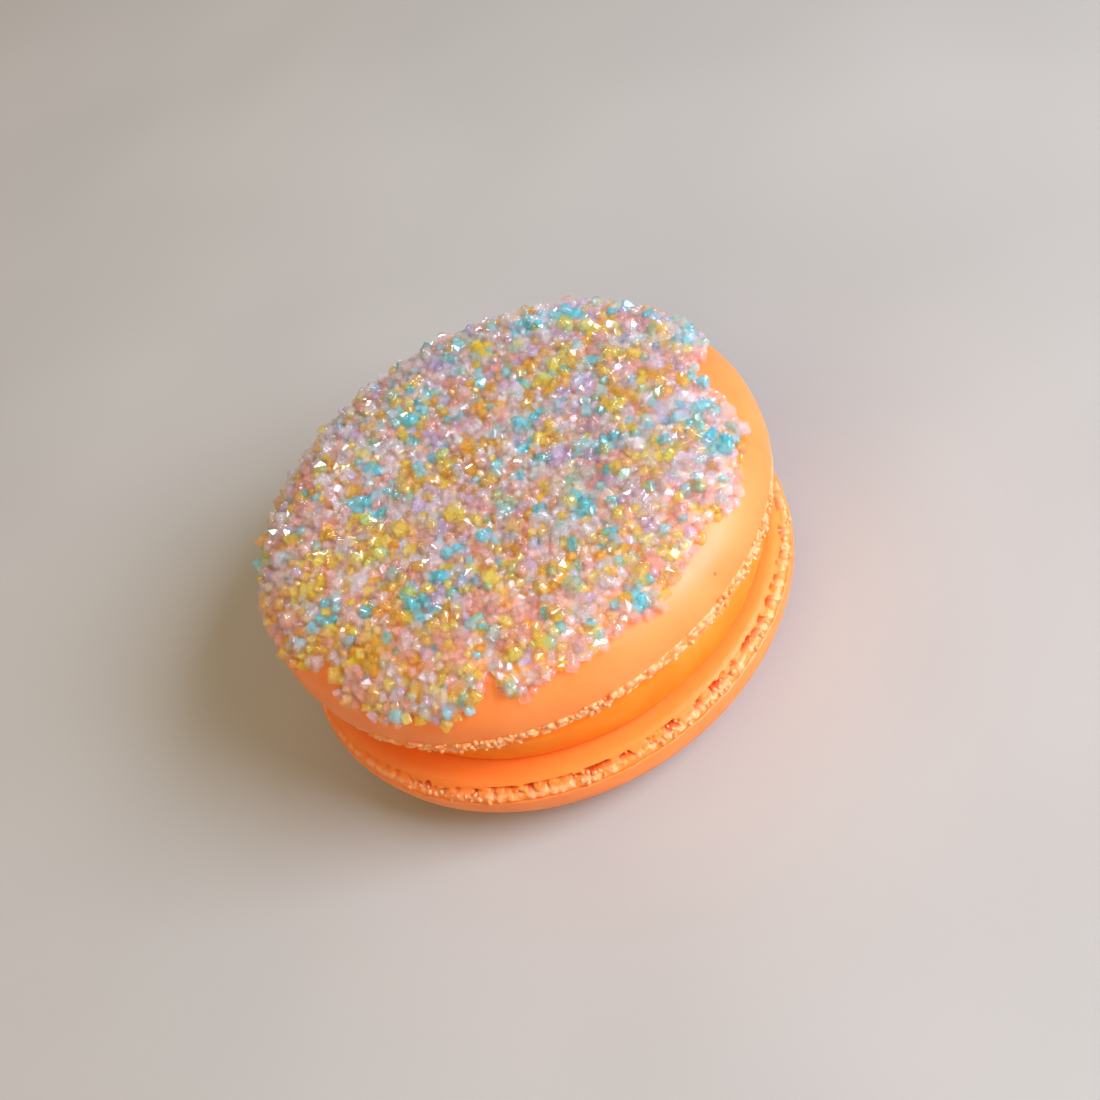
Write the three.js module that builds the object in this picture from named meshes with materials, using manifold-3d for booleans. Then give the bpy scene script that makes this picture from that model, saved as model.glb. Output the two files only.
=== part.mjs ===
import * as THREE from 'three';
import { mergeVertices } from 'three/addons/utils/BufferGeometryUtils.js';
import Module from 'manifold-3d';

// A French macaron: two domed meringue shells, a soft filling between them, and coarse sanding
// sugar set all over the upper shell. Millimetres, +Z up. The origin is the middle of the flat
// spot on which the lower shell rests. Azimuths are in degrees here, from +X towards +Y.

// Each shell, measured in its own frame: the flat inner face is at height 0 and the crown above it.
// A flat is a stretch of the rim that is drawn in.
const LOWER = { radius: 25, height: 8.15, widestAt: 2.15, flatRadius: 10.1, roundness: 2.38, flats: [] };
const UPPER = {
  radius: 25.5,
  height: 9.75,
  widestAt: 2.8,
  flatRadius: 12.1,
  roundness: 2.56,
  flats: [{ azimuth: -155, width: 24, depth: 0.5 }],
};
const RIM_UNEVENNESS = 0.1;

// The foot is the same on both, from the inner face out: a smooth lip, a groove with pits, a row of
// crumbs and the edge of the crown's skin.
const FOOT_OUTLINE = [
  { inset: 2.6, height: 0, ragged: 0, pitted: 0 },
  { inset: 1.45, height: 0.14, ragged: 0, pitted: 0 },
  { inset: 0.88, height: 0.5, ragged: 0.04, pitted: 0 },
  { inset: 0.95, height: 0.88, ragged: 0.06, pitted: 0.6 },
  { inset: 0.36, height: 1.12, ragged: 0.24, pitted: 0 },
  { inset: 0.3, height: 1.48, ragged: 0.2, pitted: 0 },
  { inset: 0.36, height: 1.75, ragged: 0.05, pitted: 0 },
];

// Where the upper shell sits: its inner face is tilted, front and right edges higher.
const UPPER_PLACE = { x: 0.54, y: 0.91, z: 11.82 };
const UPPER_TILT_FRONT = THREE.MathUtils.degToRad(-3.7);
const UPPER_TILT_SIDE = THREE.MathUtils.degToRad(-1.6);

// The filling: a squeezed disc that bulges out under the front of the upper shell. Its side runs
// through levels from 0, on the lower shell, to 1, tucked in a little at the bottom and the top.
const FILLING_FOOTPRINT = { x: 0.77, y: -1.05, radius: 21.1 };
const FILLING_SIDE = [
  { level: 0, tuck: 0.2 },
  { level: 0.14, tuck: 0 },
  { level: 0.4, tuck: 0 },
  { level: 0.7, tuck: 0 },
  { level: 0.92, tuck: 0.05 },
  { level: 1, tuck: 0.4 },
];
const FILLING_BULGE_RADIUS = 24.3;
const FILLING_BACK_RADIUS = 21.3;
const FILLING_BULGE_AT = THREE.MathUtils.degToRad(-55);
const FILLING_UNEVENNESS = 0.12;
const FILLING_GAP = 0.3;

// The sugar: a bed of grains, with the largest crystals standing out of it. A bay is a place where
// its edge draws back along the crown, and a bay of less than no depth is a tongue.
const SUGAR_DEPTH = 0.4;
const GRAIN_BUMP = 0.28;
const GRAIN_STRAY = 0.35;
const SUGAR_REACH = 25.2;
const SUGAR_EDGE_WAVE = { height: 0.25, count: 23 };
const SUGAR_BAYS = [
  { azimuth: -8, width: 13, depth: 3.3 },
  { azimuth: -57, width: 8, depth: 0.9 },
  { azimuth: -110, width: 3, depth: 2.8 },
  { azimuth: -125, width: 22, depth: -1.1 },
  { azimuth: -153, width: 4, depth: 3 },
  { azimuth: 74, width: 12, depth: 2 },
];
const BED_TUCK = 0.6;
const BED_UNDERSIDE_DEPTH = 2.5;

// The crystals that stand out: blocks, seated just above the crown's skin.
const CRYSTAL_COUNT = 130;
const EDGE_CRYSTAL_COUNT = 42;
const CRYSTAL_SIZE = { least: 1.05, most: 1.5 };
const CRYSTAL_PROPORTIONS = { x: 1, y: 0.85, z: 0.75 };
const CRYSTAL_UNEVENNESS = 0.14;
const CRYSTAL_SEAT = { least: 0.25, most: 0.45 };
const CRYSTAL_STRAY = 0.5;
const EDGE_MARGIN = 1.6;
const EDGE_CRYSTAL_INSET = 0.6;
const EDGE_CRYSTAL_STRAY = 0.3;

// How finely the surfaces are divided.
const SHELL_SEGMENTS = 108;
const FILLING_SEGMENTS = 60;
const CROWN_ROWS = 6;
const CROWN_CURVE_ROWS = 24;
const BED_DETAIL = 18;

// Each use of chance has its own stream of numbers.
const STREAM = { lowerShell: 10, upperShell: 20, filling: 30, bed: 40, block: 50, corner: 60, spread: 70 };

const shellColour = new THREE.Color(0xfba45c);
const fillingColour = new THREE.Color(0xf9882a);
const sugarColour = new THREE.Color(0xe6bfa6);

const wasm = await Module();
wasm.setup();

// A repeatable random number from 0 to 1 for a whole-numbered place and a stream.
function chance(place, stream) {
  const wave = Math.sin(place * 12.9898 + stream * 37.719) * 43758.5453;
  return wave - Math.floor(wave);
}

// The same, spread evenly from -1 to 1.
function jitter(place, stream) {
  return 2 * chance(place, stream) - 1;
}

// A slow, uneven wave round the macaron, from about -1 to 1, that joins up with itself.
function unevenness(azimuth, stream) {
  return 0.5 * Math.sin(2 * azimuth + stream) + 0.3 * Math.sin(3 * azimuth + 2.1 * stream)
    + 0.2 * Math.sin(5 * azimuth + 3.7 * stream);
}

// How deep the dips of a list are at an azimuth in radians, all together.
function dip(dips, azimuth) {
  return dips.reduce((depth, place) => {
    const turn = THREE.MathUtils.radToDeg(azimuth) - place.azimuth;
    const away = THREE.MathUtils.euclideanModulo(turn + 180, 360) - 180;
    return depth + place.depth * Math.exp(-((away / place.width) ** 2));
  }, 0);
}

// How much wider than round a shell is at an azimuth, as a share of its radius.
function rimShare(shell, azimuth, stream) {
  return (RIM_UNEVENNESS * unevenness(azimuth, stream) - dip(shell.flats, azimuth)) / shell.radius;
}

// Points of a shell's crown, from its widest place up to the middle of the top.
function crownPoints(shell, rows) {
  const points = [];
  for (let row = 0; row < rows; row += 1) {
    const angle = (row / (rows - 1)) * Math.PI / 2;
    const out = Math.max(Math.cos(angle), 0) ** (2 / shell.roundness);
    const up = Math.sin(angle) ** (2 / shell.roundness);
    points.push(new THREE.Vector2(
      shell.flatRadius + (shell.radius - shell.flatRadius) * out,
      shell.widestAt + (shell.height - shell.widestAt) * up,
    ));
  }
  points.push(new THREE.Vector2(0, shell.height));
  return points;
}

// An outline turned about +Z, with each of its points moved by move(azimuth, step, row, point).
function turned(points, segments, move) {
  const geometry = new THREE.LatheGeometry(points, segments);
  geometry.rotateX(Math.PI / 2);
  const position = geometry.getAttribute('position');
  const point = new THREE.Vector3();
  for (let index = 0; index < position.count; index += 1) {
    const row = index % points.length;
    const step = Math.floor(index / points.length) % segments;
    const azimuth = (step / segments) * 2 * Math.PI;
    const radius = points[row].x;
    point.set(radius * Math.cos(azimuth), radius * Math.sin(azimuth), points[row].y);
    if (radius > 0) move(azimuth, step, row, point);
    position.setXYZ(index, point.x, point.y, point.z);
  }
  return geometry;
}

// A geometry with only positions, and its shared vertices merged.
function bare(geometry) {
  const positions = geometry.clone();
  positions.deleteAttribute('normal');
  positions.deleteAttribute('uv');
  return mergeVertices(positions, 1e-4);
}

// A geometry's surface as a solid that can be joined to others.
function solid(geometry) {
  const merged = bare(geometry);
  return new wasm.Manifold(new wasm.Mesh({
    numProp: 3,
    vertProperties: new Float32Array(merged.getAttribute('position').array),
    triVerts: new Uint32Array(merged.getIndex().array),
  }));
}

// A solid's surface as a geometry.
function surface(body) {
  const mesh = body.getMesh();
  const geometry = new THREE.BufferGeometry();
  geometry.setAttribute('position', new THREE.BufferAttribute(new Float32Array(mesh.vertProperties), 3));
  geometry.setIndex(new THREE.BufferAttribute(new Uint32Array(mesh.triVerts), 1));
  return geometry;
}

// Many solids joined two by two, until one is left.
function joined(bodies) {
  let rest = bodies;
  while (rest.length > 1) {
    const pairs = [];
    for (let index = 0; index < rest.length; index += 2) {
      const partner = rest[index + 1];
      pairs.push(partner ? rest[index].add(partner) : rest[index]);
    }
    rest = pairs;
  }
  return rest[0];
}

// One shell with its inner face at height 0 and its crown up, its foot ragged and pitted.
function shellGeometry(shell, stream) {
  const foot = FOOT_OUTLINE.map((place) => new THREE.Vector2(shell.radius - place.inset, place.height));
  const outline = [new THREE.Vector2(0, 0), ...foot, ...crownPoints(shell, CROWN_ROWS)];
  const roughen = (azimuth, step, row, point) => {
    let wider = rimShare(shell, azimuth, stream);
    const place = FOOT_OUTLINE[row - 1];
    if (place) {
      const spot = step * FOOT_OUTLINE.length + row;
      const outward = place.ragged * jitter(spot, stream) - place.pitted * chance(spot, stream + 1);
      wider += outward / shell.radius;
      point.z += 0.5 * place.ragged * jitter(spot, stream + 2);
    }
    point.x *= 1 + wider;
    point.y *= 1 + wider;
  };
  return turned(outline, SHELL_SEGMENTS, roughen);
}

// The lower shell lies crown down, its flat inner face up.
function lowerShell() {
  const geometry = shellGeometry(LOWER, STREAM.lowerShell);
  geometry.scale(1, -1, -1);
  geometry.translate(0, 0, LOWER.height);
  return geometry;
}

// Height of the upper shell's tilted inner face over a place.
function innerFaceHeight(x, y) {
  const sideways = (x - UPPER_PLACE.x) * Math.tan(-UPPER_TILT_SIDE);
  const forwards = (y - UPPER_PLACE.y) * Math.tan(UPPER_TILT_FRONT);
  return UPPER_PLACE.z + sideways + forwards;
}

// The filling, from the lower shell's inner face up to just under the upper shell's.
function filling() {
  const side = FILLING_SIDE.map((place) => new THREE.Vector2(FILLING_FOOTPRINT.radius, place.level));
  const outline = [new THREE.Vector2(0, 0), ...side, new THREE.Vector2(0, 1)];
  const bulge = (azimuth, step, row, point) => {
    const { level, tuck } = FILLING_SIDE[row - 1];
    const ease = Math.sin(level * Math.PI / 2);
    const facing = THREE.MathUtils.smoothstep(Math.cos(azimuth - FILLING_BULGE_AT), -0.25, 0.7);
    const top = THREE.MathUtils.lerp(FILLING_BACK_RADIUS, FILLING_BULGE_RADIUS, facing);
    const wave = FILLING_UNEVENNESS * unevenness(azimuth, STREAM.filling + level);
    const radius = THREE.MathUtils.lerp(FILLING_FOOTPRINT.radius, top, ease) - tuck + wave;
    point.x = THREE.MathUtils.lerp(FILLING_FOOTPRINT.x, UPPER_PLACE.x, ease) + radius * Math.cos(azimuth);
    point.y = THREE.MathUtils.lerp(FILLING_FOOTPRINT.y, UPPER_PLACE.y, ease) + radius * Math.sin(azimuth);
  };
  const geometry = turned(outline, FILLING_SEGMENTS, bulge);
  const position = geometry.getAttribute('position');
  for (let index = 0; index < position.count; index += 1) {
    const ceiling = innerFaceHeight(position.getX(index), position.getY(index)) - FILLING_GAP;
    position.setZ(index, THREE.MathUtils.lerp(LOWER.height, ceiling, position.getZ(index)));
  }
  return geometry;
}

const crown = new THREE.SplineCurve(crownPoints(UPPER, CROWN_CURVE_ROWS).reverse());
const crownLength = crown.getLength();

// A place on the upper shell's crown: reach along it from the middle, and lift above its skin.
function onCrown(reach, azimuth, lift) {
  const along = Math.min(reach / crownLength, 1);
  const point = crown.getPointAt(along);
  const tangent = crown.getTangentAt(along);
  const radius = point.x * (1 + rimShare(UPPER, azimuth, STREAM.upperShell)) - lift * tangent.y;
  const height = point.y + lift * tangent.x;
  return new THREE.Vector3(radius * Math.cos(azimuth), radius * Math.sin(azimuth), height);
}

// How far the sugar reaches down the crown.
function sugarReach(azimuth) {
  const wave = SUGAR_EDGE_WAVE.height * Math.sin(SUGAR_EDGE_WAVE.count * azimuth);
  return SUGAR_REACH + wave - dip(SUGAR_BAYS, azimuth);
}

// The bed of grains: an even ball whose cap is laid over the crown, bumpy, and whose rest is tucked
// inside the shell. Past the sugar's edge the cap dips under the skin.
function sugarBed() {
  const capAngle = Math.PI / 3;
  const bed = bare(new THREE.IcosahedronGeometry(1, BED_DETAIL));
  const position = bed.getAttribute('position');
  const point = new THREE.Vector3();
  for (let index = 0; index < position.count; index += 1) {
    point.fromBufferAttribute(position, index);
    const polar = Math.acos(THREE.MathUtils.clamp(point.z, -1, 1));
    const azimuth = Math.atan2(point.y, point.x);
    if (polar <= capAngle) {
      const reach = (polar / capAngle) * crownLength;
      const bump = SUGAR_DEPTH + GRAIN_BUMP * jitter(index, STREAM.bed);
      const lift = reach < sugarReach(azimuth) ? bump : -BED_TUCK;
      const further = GRAIN_STRAY * jitter(index, STREAM.bed + 1);
      const aside = GRAIN_STRAY * jitter(index, STREAM.bed + 2) / Math.max(reach, 2);
      point.copy(onCrown(Math.abs(reach + further), azimuth + aside, lift));
    } else {
      const outward = (Math.PI - polar) / (Math.PI - capAngle);
      const sunk = THREE.MathUtils.lerp(BED_UNDERSIDE_DEPTH, BED_TUCK, outward ** 8);
      point.copy(onCrown(outward * crownLength, azimuth, -sunk));
    }
    position.setXYZ(index, point.x, point.y, point.z);
  }
  return solid(bed);
}

// One blocky crystal with uneven corners, turned any way, at a place on the crown.
function crystal(number, reach, azimuth) {
  const large = chance(number, STREAM.block) ** 2;
  const size = THREE.MathUtils.lerp(CRYSTAL_SIZE.least, CRYSTAL_SIZE.most, large);
  const { x, y, z } = CRYSTAL_PROPORTIONS;
  const block = bare(new THREE.BoxGeometry(size * x, size * y, size * z));
  const position = block.getAttribute('position');
  for (let corner = 0; corner < position.count; corner += 1) {
    const wider = 1 + CRYSTAL_UNEVENNESS * jitter(number * position.count + corner, STREAM.corner);
    position.setX(corner, position.getX(corner) * wider);
    position.setY(corner, position.getY(corner) * wider);
  }
  const turn = new THREE.Euler(
    Math.PI * chance(number, STREAM.block + 1),
    Math.PI * chance(number, STREAM.block + 2),
    Math.PI * chance(number, STREAM.block + 3),
  );
  const lift = THREE.MathUtils.lerp(CRYSTAL_SEAT.least, CRYSTAL_SEAT.most, chance(number, STREAM.block + 4));
  const seat = onCrown(reach, azimuth, lift);
  block.applyMatrix4(new THREE.Matrix4().makeRotationFromEuler(turn).setPosition(seat));
  return solid(block);
}

// The crystals that stand out, spread evenly over the crown as seeds are in a sunflower, then a row
// of them round the sugar's edge.
function crystals() {
  const goldenAngle = Math.PI * (3 - Math.sqrt(5));
  const made = [];
  for (let number = 0; number < CRYSTAL_COUNT; number += 1) {
    const azimuth = number * goldenAngle;
    const share = Math.sqrt((number + 0.5) / CRYSTAL_COUNT);
    const reach = share * (sugarReach(azimuth) - EDGE_MARGIN) + CRYSTAL_STRAY * jitter(number, STREAM.spread);
    made.push(crystal(number, Math.abs(reach), azimuth));
  }
  for (let number = 0; number < EDGE_CRYSTAL_COUNT; number += 1) {
    const step = number + CRYSTAL_STRAY * chance(number, STREAM.spread + 1);
    const azimuth = (step / EDGE_CRYSTAL_COUNT) * 2 * Math.PI;
    const inset = EDGE_CRYSTAL_INSET + EDGE_CRYSTAL_STRAY * jitter(number, STREAM.spread + 2);
    made.push(crystal(CRYSTAL_COUNT + number, sugarReach(azimuth) - inset, azimuth));
  }
  return made;
}

// The upper shell with its sugar fused on. Only the outer skin is kept: a hollow that the grains
// seal is filled, and a loose scrap is dropped.
function upperShell() {
  const shell = solid(shellGeometry(UPPER, STREAM.upperShell));
  const body = joined([shell, sugarBed(), joined(crystals())]);
  const skins = body.decompose().sort((one, other) => other.volume() - one.volume());
  return surface(skins[0]);
}

function piece(name, geometry, color, roughness) {
  const mesh = new THREE.Mesh(geometry, new THREE.MeshStandardMaterial({ color, roughness, metalness: 0 }));
  mesh.name = name;
  return mesh;
}

const macaron = new THREE.Group();
macaron.add(piece('lower_shell', lowerShell(), shellColour, 0.7));
macaron.add(piece('filling', filling(), fillingColour, 0.55));

const sugaredShell = piece('upper_shell', upperShell(), sugarColour, 0.4);
sugaredShell.position.set(UPPER_PLACE.x, UPPER_PLACE.y, UPPER_PLACE.z);
sugaredShell.rotation.set(UPPER_TILT_FRONT, UPPER_TILT_SIDE, 0, 'YXZ');
macaron.add(sugaredShell);

export default macaron;
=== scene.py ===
import math

import bmesh
import bpy
import numpy as np
from mathutils import Matrix, Vector, noise


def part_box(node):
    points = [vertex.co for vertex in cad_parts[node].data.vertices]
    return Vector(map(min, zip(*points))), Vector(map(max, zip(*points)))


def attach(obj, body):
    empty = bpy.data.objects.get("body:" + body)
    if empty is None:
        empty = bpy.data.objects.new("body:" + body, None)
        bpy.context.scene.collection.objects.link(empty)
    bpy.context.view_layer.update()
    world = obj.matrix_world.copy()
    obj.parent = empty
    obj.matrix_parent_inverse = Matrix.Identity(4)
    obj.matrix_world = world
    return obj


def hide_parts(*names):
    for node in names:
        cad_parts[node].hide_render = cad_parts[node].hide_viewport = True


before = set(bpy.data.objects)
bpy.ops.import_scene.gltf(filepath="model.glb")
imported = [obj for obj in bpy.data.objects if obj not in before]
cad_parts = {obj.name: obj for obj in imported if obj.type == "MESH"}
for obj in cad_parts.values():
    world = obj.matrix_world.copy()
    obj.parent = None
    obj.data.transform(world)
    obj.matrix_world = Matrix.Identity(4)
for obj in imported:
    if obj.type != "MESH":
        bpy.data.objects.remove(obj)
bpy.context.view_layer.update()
MM = 0.001

# The setting. A macaron lies on a plain pale table under a wide, soft window light from the right.
# The camera looks down on it from in front, with the picture turned on its side by the roll.
CAMERA_PLACE = Vector((2.12, -121.21, 134.92)) * MM
CAMERA_ELEVATION = math.radians(45.95)
CAMERA_ROLL = math.radians(-29.37)
PICTURE_PIXELS = 1100
FOCAL_PIXELS = 1800
SENSOR_MM = 36
TABLE_SIDE = 4.0
GLINT_PLACES = [(0.1, 0.3, 0.5), (-0.2, 0.35, 0.4), (0.45, 0.2, 0.3), (-0.2, 0.05, 0.6), (0.3, -0.1, 0.6),
                (0.0, 0.1, 0.65), (0.25, 0.35, 0.35), (-0.05, 0.45, 0.3), (0.15, 0.0, 0.55),
                (-0.35, 0.1, 0.45)]
BLUISH = (0.74, 0.82, 1.0)
PALE_BLUE = (0.80, 0.88, 1.0)
AMBER = (1.0, 0.72, 0.38)
WHITE = (1.0, 1.0, 1.0)
WARM_ROOM = (1.0, 0.78, 0.48, 1.0)


def srgb(red, green, blue):
    """A colour given as screen values from 0 to 255, as the linear colour that a shader takes."""
    shares = [channel / 255 for channel in (red, green, blue)]
    linear = [s / 12.92 if s <= 0.04045 else ((s + 0.055) / 1.055) ** 2.4 for s in shares]
    return (*linear, 1.0)


def give(tree, node, inputs):
    """Gives a node's inputs, by name or place, a number or another node's output."""
    for key, value in dict(inputs).items():
        if isinstance(value, bpy.types.NodeSocket):
            tree.links.new(value, node.inputs[key])
        else:
            node.inputs[key].default_value = value


def add_node(tree, kind, inputs=(), **settings):
    """A new node with its settings and inputs."""
    node = tree.nodes.new(kind)
    for name, value in settings.items():
        setattr(node, name, value)
    give(tree, node, inputs)
    return node


def maths(tree, operation, *values):
    """The result of a sum on numbers or outputs."""
    return add_node(tree, "ShaderNodeMath", enumerate(values), operation=operation).outputs[0]


def empty_material(name):
    """A material that holds one Principled shader, and its node tree and shader."""
    material = bpy.data.materials.new(name)
    material.use_nodes = True
    tree = material.node_tree
    return material, tree, tree.nodes["Principled BSDF"]


def grain(tree, size, detail=2.0):
    """A soft random pattern on the piece's own coordinates, its features about that size."""
    place = add_node(tree, "ShaderNodeTexCoord").outputs["Object"]
    inputs = {"Vector": place, "Scale": 1 / size, "Detail": detail}
    return add_node(tree, "ShaderNodeTexNoise", inputs).outputs[0]


def colour_ramp(tree, factor, stops, smooth=True):
    """A colour that runs through the stops, each a place from 0 to 1 and a colour."""
    ramp = add_node(tree, "ShaderNodeValToRGB", {0: factor})
    ramp.color_ramp.interpolation = "EASE" if smooth else "CONSTANT"
    elements = ramp.color_ramp.elements
    while len(elements) < len(stops):
        elements.new(0.5)
    for element, (place, colour) in zip(elements, stops):
        element.position = place
        element.color = colour
    return ramp.outputs[0]


def table_material():
    """A plain pale board with a faint mottle."""
    material, tree, shader = empty_material("pale table")
    tone = colour_ramp(tree, grain(tree, 60 * MM), [(0.3, srgb(176, 174, 170)), (0.7, srgb(184, 182, 178))])
    give(tree, shader, {"Base Color": tone, "Roughness": 0.6})
    return material


def add_light(name, place, side, watts, colour, gloss_only=False):
    """A square light that faces the macaron. One for gloss alone gives highlights and no shadows."""
    light = bpy.data.lights.new(name, "AREA")
    light.size = side
    light.energy = watts
    light.color = colour
    lamp = bpy.data.objects.new(name, light)
    lamp.location = place
    lamp.rotation_euler = (-Vector(place)).to_track_quat("-Z", "Y").to_euler()
    lamp.visible_diffuse = not gloss_only
    bpy.context.scene.collection.objects.link(lamp)


camera_data = bpy.data.cameras.new("camera")
camera_data.sensor_width = SENSOR_MM
camera_data.lens = SENSOR_MM * FOCAL_PIXELS / PICTURE_PIXELS
camera_data.clip_start = 10 * MM
camera = bpy.data.objects.new("camera", camera_data)
camera_turn = Matrix.Rotation(math.pi / 2 - CAMERA_ELEVATION, 4, "X") @ Matrix.Rotation(CAMERA_ROLL, 4, "Z")
camera.matrix_world = Matrix.Translation(CAMERA_PLACE) @ camera_turn
bpy.context.scene.collection.objects.link(camera)
bpy.context.scene.camera = camera

add_light("window", (0.38, -0.27, 0.32), side=0.34, watts=5.9, colour=BLUISH)
add_light("room", (-0.25, -0.40, 0.45), side=0.50, watts=1.3, colour=AMBER)
add_light("window_sheen", (0.42, -0.26, 0.13), side=0.30, watts=1.8, colour=PALE_BLUE, gloss_only=True)
for number, place in enumerate(GLINT_PLACES):
    add_light("glint_" + str(number), place, side=0.04, watts=0.22, colour=WHITE, gloss_only=True)
world = bpy.data.worlds.new("soft studio")
world.use_nodes = True
give(world.node_tree, world.node_tree.nodes["Background"], {"Color": WARM_ROOM, "Strength": 0.36})
bpy.context.scene.world = world
bpy.context.scene.view_settings.view_transform = "Standard"

table_mesh = bpy.data.meshes.new("table")
half = TABLE_SIDE / 2
corners = [(-half, -half, 0), (half, -half, 0), (half, half, 0), (-half, half, 0)]
table_mesh.from_pydata(corners, [], [(0, 1, 2, 3)])
table = bpy.data.objects.new("table", table_mesh)
table_mesh.materials.append(table_material())
bpy.context.scene.collection.objects.link(table)

# The lower shell: baked meringue, a smooth domed skin that lies crown down. Under its skin the batter
# rose into a ragged foot as it baked, with a smooth lip where it had spread on the baking sheet.
LOWER = {"radius": 25.0, "height": 8.15, "widest_at": 2.15, "flat_radius": 10.1, "roundness": 2.38,
         "skin_edge": 1.8}
SKIN_SEGMENTS = 1080
FOOT_SEGMENTS = 1440
RIM_WAVE = 0.1
RIM_WAVES = [(0.5, 2, 1.0), (0.3, 3, 2.1), (0.2, 5, 3.7)]
SKIN_EDGE_INSET = 0.22
SKIN_EDGE_STEPS = 12
SKIN_UNDERSIDE = {"inset": 2.2, "rise": 0.3}
CROWN_ROWS = 56
FLAT_STEPS = 12
FOOT_LINE = [(2.6, 0.0), (1.9, 0.05), (1.35, 0.2), (0.98, 0.48), (0.88, 0.66), (0.74, 0.8), (0.5, 0.96),
             (0.36, 1.2)]
FOOT_END = [(0.14, -0.12), (0.34, 0.06), (1.1, 0.26)]
SKIN_COLOURS = [srgb(247, 134, 60), srgb(251, 144, 72)]
CRUMB_COLOUR = srgb(253, 172, 118)
LIP_COLOUR = srgb(252, 140, 60)
# Deep orange painted into the foot's pits and the skin's pinhole: painted shade in the hollows.
PAINTED_PIT_SHADE = srgb(205, 70, 8)
PINHOLE_PLACE = (13.41 * MM, -20.44 * MM, 18.23 * MM)
POINTS_A_SQUARE_METRE = 1.2e7
FOOT_FLAT_STEPS = 14
FOOT_SPACING = 0.09
LUMP_STEEPNESS = 1.45
SMALL_LUMPS = {"size": 0.4, "share": 0.3}
LUMP_BAND_SOFTNESS = 0.18
PALE_BAND_SOFTNESS = 0.2
PIT_BAND_SOFTNESS = 0.15
PIT_FLATNESS = 1.8
PIT_NOISE = (0.48, 0.6)
RAGGED_INSIDE = 0.6
SWELL_SIZE = 7
CRUMB_NOISE = (0.38, 0.56)
CRUMB_BAND_LEAST = 0.6


def smooth_line(corners, spacing):
    """A smooth curve through corners, as points about spacing apart."""
    ends = [corners[0], *corners, corners[-1]]
    line = []
    for before, start, end, after in zip(ends, ends[1:], ends[2:], ends[3:]):
        steps = max(1, round(math.dist(start, end) / spacing))
        for step in range(steps):
            t = step / steps
            weights = (-t + 2 * t**2 - t**3, 2 - 5 * t**2 + 3 * t**3, t + 4 * t**2 - 3 * t**3, t**3 - t**2)
            places = (before, start, end, after)
            line.append(tuple(sum(w * p[axis] for w, p in zip(weights, places)) / 2 for axis in (0, 1)))
    return [*line, corners[-1]]


def crown_line(shell, rows):
    """Radius and height along a shell's crown, from its widest place to the middle of the top."""
    line = []
    for row in range(rows):
        angle = row / (rows - 1) * math.pi / 2
        out = max(math.cos(angle), 0.0) ** (2 / shell["roundness"])
        up = math.sin(angle) ** (2 / shell["roundness"])
        radius = shell["flat_radius"] + (shell["radius"] - shell["flat_radius"]) * out
        line.append((radius, shell["widest_at"] + (shell["height"] - shell["widest_at"]) * up))
    steps = range(1, FLAT_STEPS + 1)
    return line + [(shell["flat_radius"] * (1 - step / FLAT_STEPS), shell["height"]) for step in steps]


def skin_line(shell):
    """The skin's whole outline: a hidden underside, the rounded lower edge, then the crown."""
    drop = shell["widest_at"] - shell["skin_edge"]
    edge = []
    for step in range(SKIN_EDGE_STEPS):
        angle = (1 - step / SKIN_EDGE_STEPS) * math.pi / 2
        inset = SKIN_EDGE_INSET * (1 - math.cos(angle))
        edge.append((shell["radius"] - inset, shell["widest_at"] - drop * math.sin(angle)))
    inside = shell["skin_edge"] + SKIN_UNDERSIDE["rise"]
    under = [(0.0, inside), (shell["radius"] - SKIN_UNDERSIDE["inset"], inside)]
    return under + edge + crown_line(shell, CROWN_ROWS)


def foot_line(shell):
    """The foot's whole outline: the flat inner face, the lip, the ragged band and a hidden top."""
    radius = shell["radius"]
    flat = [((radius - FOOT_LINE[0][0]) * step / FOOT_FLAT_STEPS, 0.0) for step in range(FOOT_FLAT_STEPS)]
    end = [(inset, shell["skin_edge"] + rise) for inset, rise in FOOT_END]
    band = smooth_line([(radius - inset, height) for inset, height in FOOT_LINE + end], FOOT_SPACING)
    return flat + band + [(0.0, end[-1][1])]


def vector(tree, operation, *values):
    """The result of a sum on vectors, given as triples or outputs."""
    return add_node(tree, "ShaderNodeVectorMath", enumerate(values), operation=operation).outputs[0]


def scaled(tree, value, scale):
    """A vector made longer by a number."""
    return add_node(tree, "ShaderNodeVectorMath", {0: value, "Scale": scale}, operation="SCALE").outputs[0]


def measured(tree, operation, *values):
    """A number worked out from two vectors, such as their distance."""
    worked = add_node(tree, "ShaderNodeVectorMath", enumerate(values), operation=operation)
    return worked.outputs["Value"]


def triple(tree, x=0.0, y=0.0, z=0.0):
    """A vector of three numbers or outputs."""
    return add_node(tree, "ShaderNodeCombineXYZ", {0: x, 1: y, 2: z}).outputs[0]


def ranged(tree, value, low, high, to_low=0.0, to_high=1.0, soft=False):
    """Where a value lies from low to high, as a number from to_low to to_high, with soft ends if wanted."""
    inputs = {"Value": value, "From Min": low, "From Max": high, "To Min": to_low, "To Max": to_high}
    kind = "SMOOTHSTEP" if soft else "LINEAR"
    return add_node(tree, "ShaderNodeMapRange", inputs, interpolation_type=kind).outputs[0]


def mixed(tree, share, first, second, kind="FLOAT"):
    """A blend of two numbers, or of two colours where the kind is RGBA."""
    socket, output = (2, 0) if kind == "FLOAT" else (6, 2)
    inputs = {0: share, socket: first, socket + 1: second}
    return add_node(tree, "ShaderNodeMix", inputs, data_type=kind).outputs[output]


def stored(tree, geometry, name, value, domain="POINT"):
    """The geometry with a number of that name kept on each point or copy."""
    inputs = {"Geometry": geometry, "Name": name, "Value": value}
    kept = add_node(tree, "GeometryNodeStoreNamedAttribute", inputs, data_type="FLOAT", domain=domain)
    return kept.outputs[0]


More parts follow.
